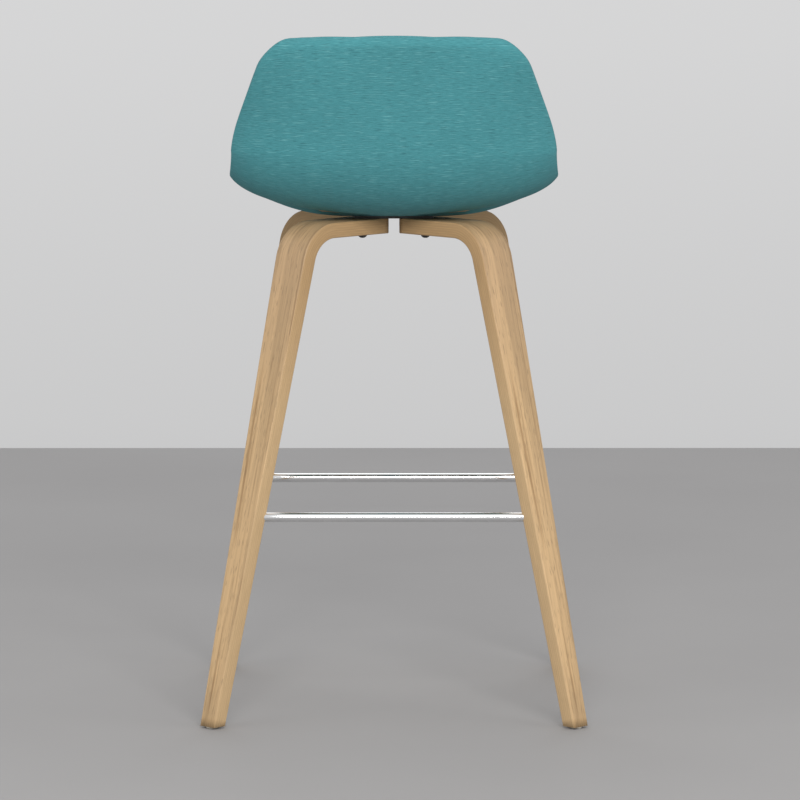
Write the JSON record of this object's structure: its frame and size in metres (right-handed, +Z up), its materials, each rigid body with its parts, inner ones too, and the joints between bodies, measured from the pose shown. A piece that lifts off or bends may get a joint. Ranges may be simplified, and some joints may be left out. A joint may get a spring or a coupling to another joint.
{
  "type": "bar stool",
  "caption": "Bar-height stool with a low-back upholstered shell on splayed bent-wood legs tied by a square metal footrest.",
  "frame": {"origin": "on the floor, in the middle of the four feet", "axes": "+Z up, -Y towards the front of the seat (the sitter faces -Y), +X to the sitter's left"},
  "size_m": [0.571, 0.571, 1.0133],
  "materials": {
    "plywood": "moulded birch plywood, unfinished",
    "foam": "upholstery foam",
    "cover_fabric": "teal woven fabric with fine horizontal slubs",
    "black_steel": "black powder coat",
    "zinc_steel": "bright zinc plate",
    "oak": "clear matt lacquer over oak veneer",
    "chrome": "polished chrome plate",
    "glide_nylon": "off-white moulded nylon"
  },
  "bodies": {
    "root": {"shell_plywood": "plywood", "edge_roll": "foam", "seat_foam": "foam", "back_foam": "foam", "inner_cover": "cover_fabric", "outer_cover": "cover_fabric", "mounting_plate": "black_steel", "plate_screws": "zinc_steel", "tee_nuts": "zinc_steel", "leg_bolts": "black_steel", "leg_washers": "black_steel", "locating_pins": "zinc_steel", "leg_front_left": "oak", "leg_front_right": "oak", "leg_rear_left": "oak", "leg_rear_right": "oak", "footrest_front": "chrome", "footrest_rear": "chrome", "footrest_left": "chrome", "footrest_right": "chrome", "glide_front_left": "glide_nylon", "glide_front_right": "glide_nylon", "glide_rear_left": "glide_nylon", "glide_rear_right": "glide_nylon", "glide_nails": "zinc_steel"}
  },
  "joints": []
}
